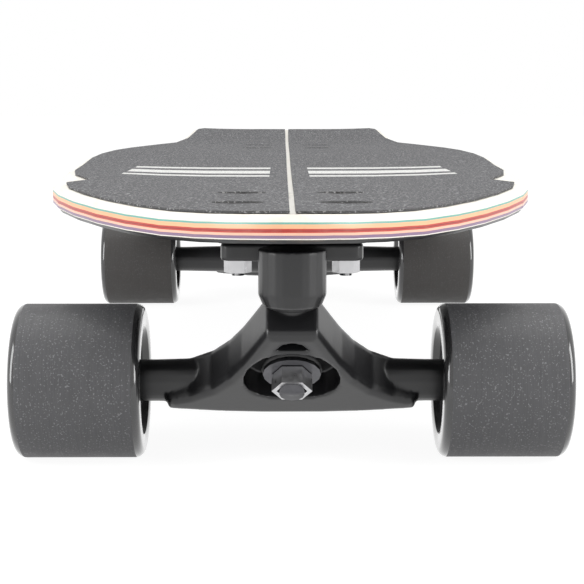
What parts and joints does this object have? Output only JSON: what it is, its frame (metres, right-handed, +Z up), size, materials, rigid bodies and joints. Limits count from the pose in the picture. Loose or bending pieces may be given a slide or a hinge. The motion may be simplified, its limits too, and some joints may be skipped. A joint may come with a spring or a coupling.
{
  "type": "cruiser skateboard",
  "caption": "Cruiser skateboard with a wide concave deck, kicktail, steering cast trucks and free-rolling urethane wheels.",
  "frame": {"origin": "centre of the overall box on the ground under the wheels", "axes": "+Y towards the tail, +X to the right seen from the nose end, +Z up"},
  "size_m": [0.254, 0.6794, 0.1229],
  "materials": {
    "maple": "lacquered laminated maple with coloured plies",
    "grit": "coarse silicon carbide grit",
    "cast_black": "satin black coated casting",
    "urethane": "dark grey urethane with a ground tread",
    "soft_urethane": "smooth black urethane",
    "hard_plastic": "moulded black plastic",
    "steel": "zinc plated steel",
    "dark_steel": "black zinc plated steel"
  },
  "bodies": {
    "board": {"deck": "maple", "front_baseplate": "cast_black", "front_bolt_1": "steel", "front_bolt_2": "steel", "front_bolt_3": "steel", "front_bolt_4": "steel", "front_deck_bushing": "soft_urethane", "front_deck_washer": "dark_steel", "front_kingpin": "dark_steel", "front_kingpin_nut": "steel", "front_locknut_1": "steel", "front_locknut_2": "steel", "front_locknut_3": "steel", "front_locknut_4": "steel", "front_pivot_cup": "soft_urethane", "front_riser_pad": "hard_plastic", "front_road_bushing": "soft_urethane", "front_road_washer": "dark_steel", "grip_left": "grit", "grip_right": "grit", "rear_baseplate": "cast_black", "rear_bolt_1": "steel", "rear_bolt_2": "steel", "rear_bolt_3": "steel", "rear_bolt_4": "steel", "rear_deck_bushing": "soft_urethane", "rear_deck_washer": "dark_steel", "rear_kingpin": "dark_steel", "rear_kingpin_nut": "steel", "rear_locknut_1": "steel", "rear_locknut_2": "steel", "rear_locknut_3": "steel", "rear_locknut_4": "steel", "rear_pivot_cup": "soft_urethane", "rear_riser_pad": "hard_plastic", "rear_road_bushing": "soft_urethane", "rear_road_washer": "dark_steel"},
    "front_hanger": {"front_axle": "steel", "front_hanger": "cast_black", "front_left_axle_nut": "steel", "front_right_axle_nut": "steel"},
    "front_left_wheel": {"front_left_wheel": "urethane", "front_left_wheel_core": "hard_plastic"},
    "front_right_wheel": {"front_right_wheel": "urethane", "front_right_wheel_core": "hard_plastic"},
    "rear_hanger": {"rear_axle": "steel", "rear_hanger": "cast_black", "rear_left_axle_nut": "steel", "rear_right_axle_nut": "steel"},
    "rear_left_wheel": {"rear_left_wheel": "urethane", "rear_left_wheel_core": "hard_plastic"},
    "rear_right_wheel": {"rear_right_wheel": "urethane", "rear_right_wheel_core": "hard_plastic"}
  },
  "joints": [
    {"name": "front_steer", "type": "hinge", "parent": "board", "child": "front_hanger", "pos_m": [0, -0.2638, 0.05174], "axis": [0, -0.766, 0.6428], "range_deg": [-15, 15], "stiffness_Nm_per_rad": 60, "deforming": ["front_deck_bushing", "front_road_bushing"]},
    {"name": "rear_steer", "type": "hinge", "parent": "board", "child": "rear_hanger", "pos_m": [0, 0.21319, 0.05174], "axis": [0, 0.766, 0.6428], "range_deg": [-15, 15], "stiffness_Nm_per_rad": 60, "deforming": ["rear_deck_bushing", "rear_road_bushing"]},
    {"name": "front_left_spin", "type": "hinge", "parent": "front_hanger", "child": "front_left_wheel", "pos_m": [-0.0845, -0.2453, 0.031], "axis": [1, 0, 0], "continuous": true},
    {"name": "front_right_spin", "type": "hinge", "parent": "front_hanger", "child": "front_right_wheel", "pos_m": [0.0845, -0.2453, 0.031], "axis": [1, 0, 0], "continuous": true},
    {"name": "rear_left_spin", "type": "hinge", "parent": "rear_hanger", "child": "rear_left_wheel", "pos_m": [-0.1015, 0.1947, 0.031], "axis": [1, 0, 0], "continuous": true},
    {"name": "rear_right_spin", "type": "hinge", "parent": "rear_hanger", "child": "rear_right_wheel", "pos_m": [0.1015, 0.1947, 0.031], "axis": [1, 0, 0], "continuous": true}
  ]
}
